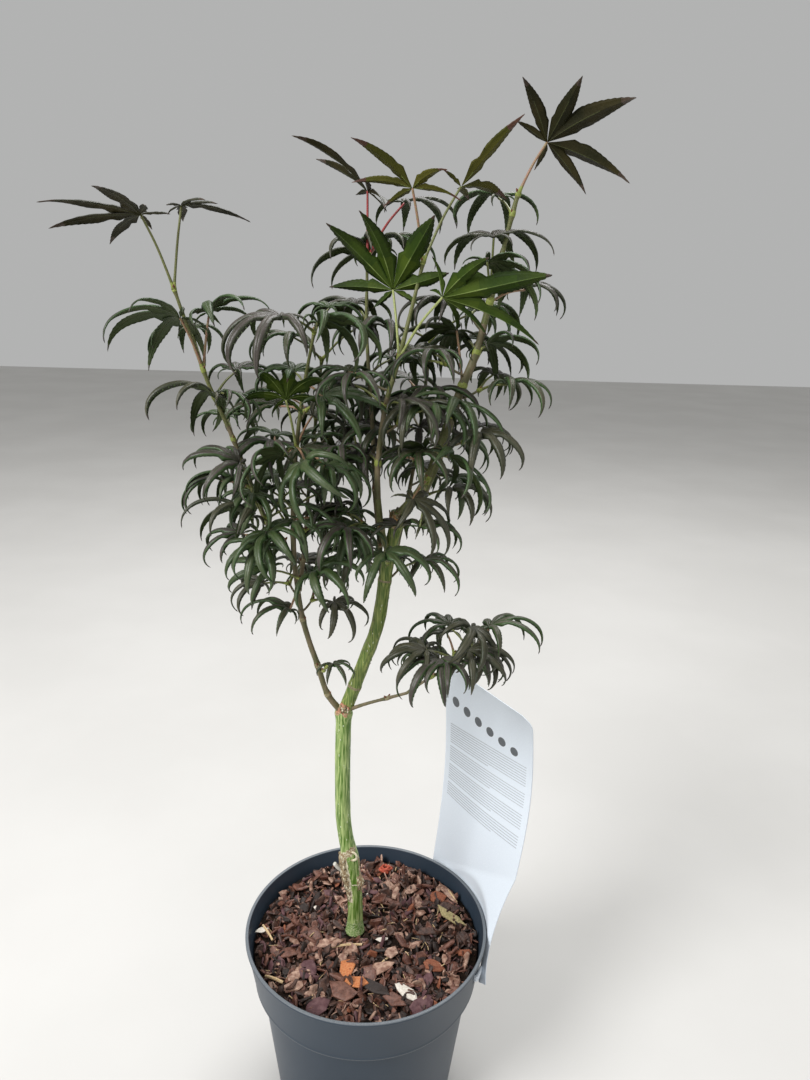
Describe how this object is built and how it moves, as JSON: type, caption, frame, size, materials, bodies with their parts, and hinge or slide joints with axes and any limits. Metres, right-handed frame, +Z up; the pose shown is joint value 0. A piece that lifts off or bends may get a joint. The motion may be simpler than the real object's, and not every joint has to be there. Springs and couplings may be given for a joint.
{
  "type": "potted japanese maple",
  "caption": "Young grafted maple with a bare green trunk, a forked leader and thin side shoots of drooping claw-like lobed leaves, in a round tapered nursery pot with a blank care card.",
  "frame": {"origin": "middle of the pot's flat underside", "axes": "+Z straight up, +X to the right and -Y towards the viewer when the plant shows the side that the picture shows"},
  "size_m": [0.3407, 0.1992, 0.7497],
  "materials": {
    "pot": "satin anthracite moulded plastic",
    "mulch": "loose bark chips on dark potting mix",
    "green_bark": "smooth green bark with pale stripes",
    "shoot_bark": "smooth olive bark",
    "foliage": "dull green to purple-brown leaves",
    "card": "blank pale plastic card"
  },
  "bodies": {
    "root": {"pot": "pot", "mulch": "mulch", "trunk": "green_bark", "main_leader": "green_bark", "left_stem": "shoot_bark", "low_twig": "shoot_bark", "right_bough": "shoot_bark", "left_bough": "shoot_bark", "centre_left_bough": "shoot_bark", "centre_bough": "shoot_bark", "inner_bough": "shoot_bark", "back_left_bough": "shoot_bark", "back_right_bough": "shoot_bark", "care_card": "card", "left_crown": "foliage", "centre_left_crown": "foliage", "centre_crown": "foliage", "inner_crown": "foliage", "right_crown": "foliage", "right_skirt": "foliage", "low_spray": "foliage", "left_skirt": "foliage", "centre_skirt": "foliage", "fork_spray": "foliage", "back_left_crown": "foliage", "back_right_crown": "foliage"}
  },
  "joints": []
}
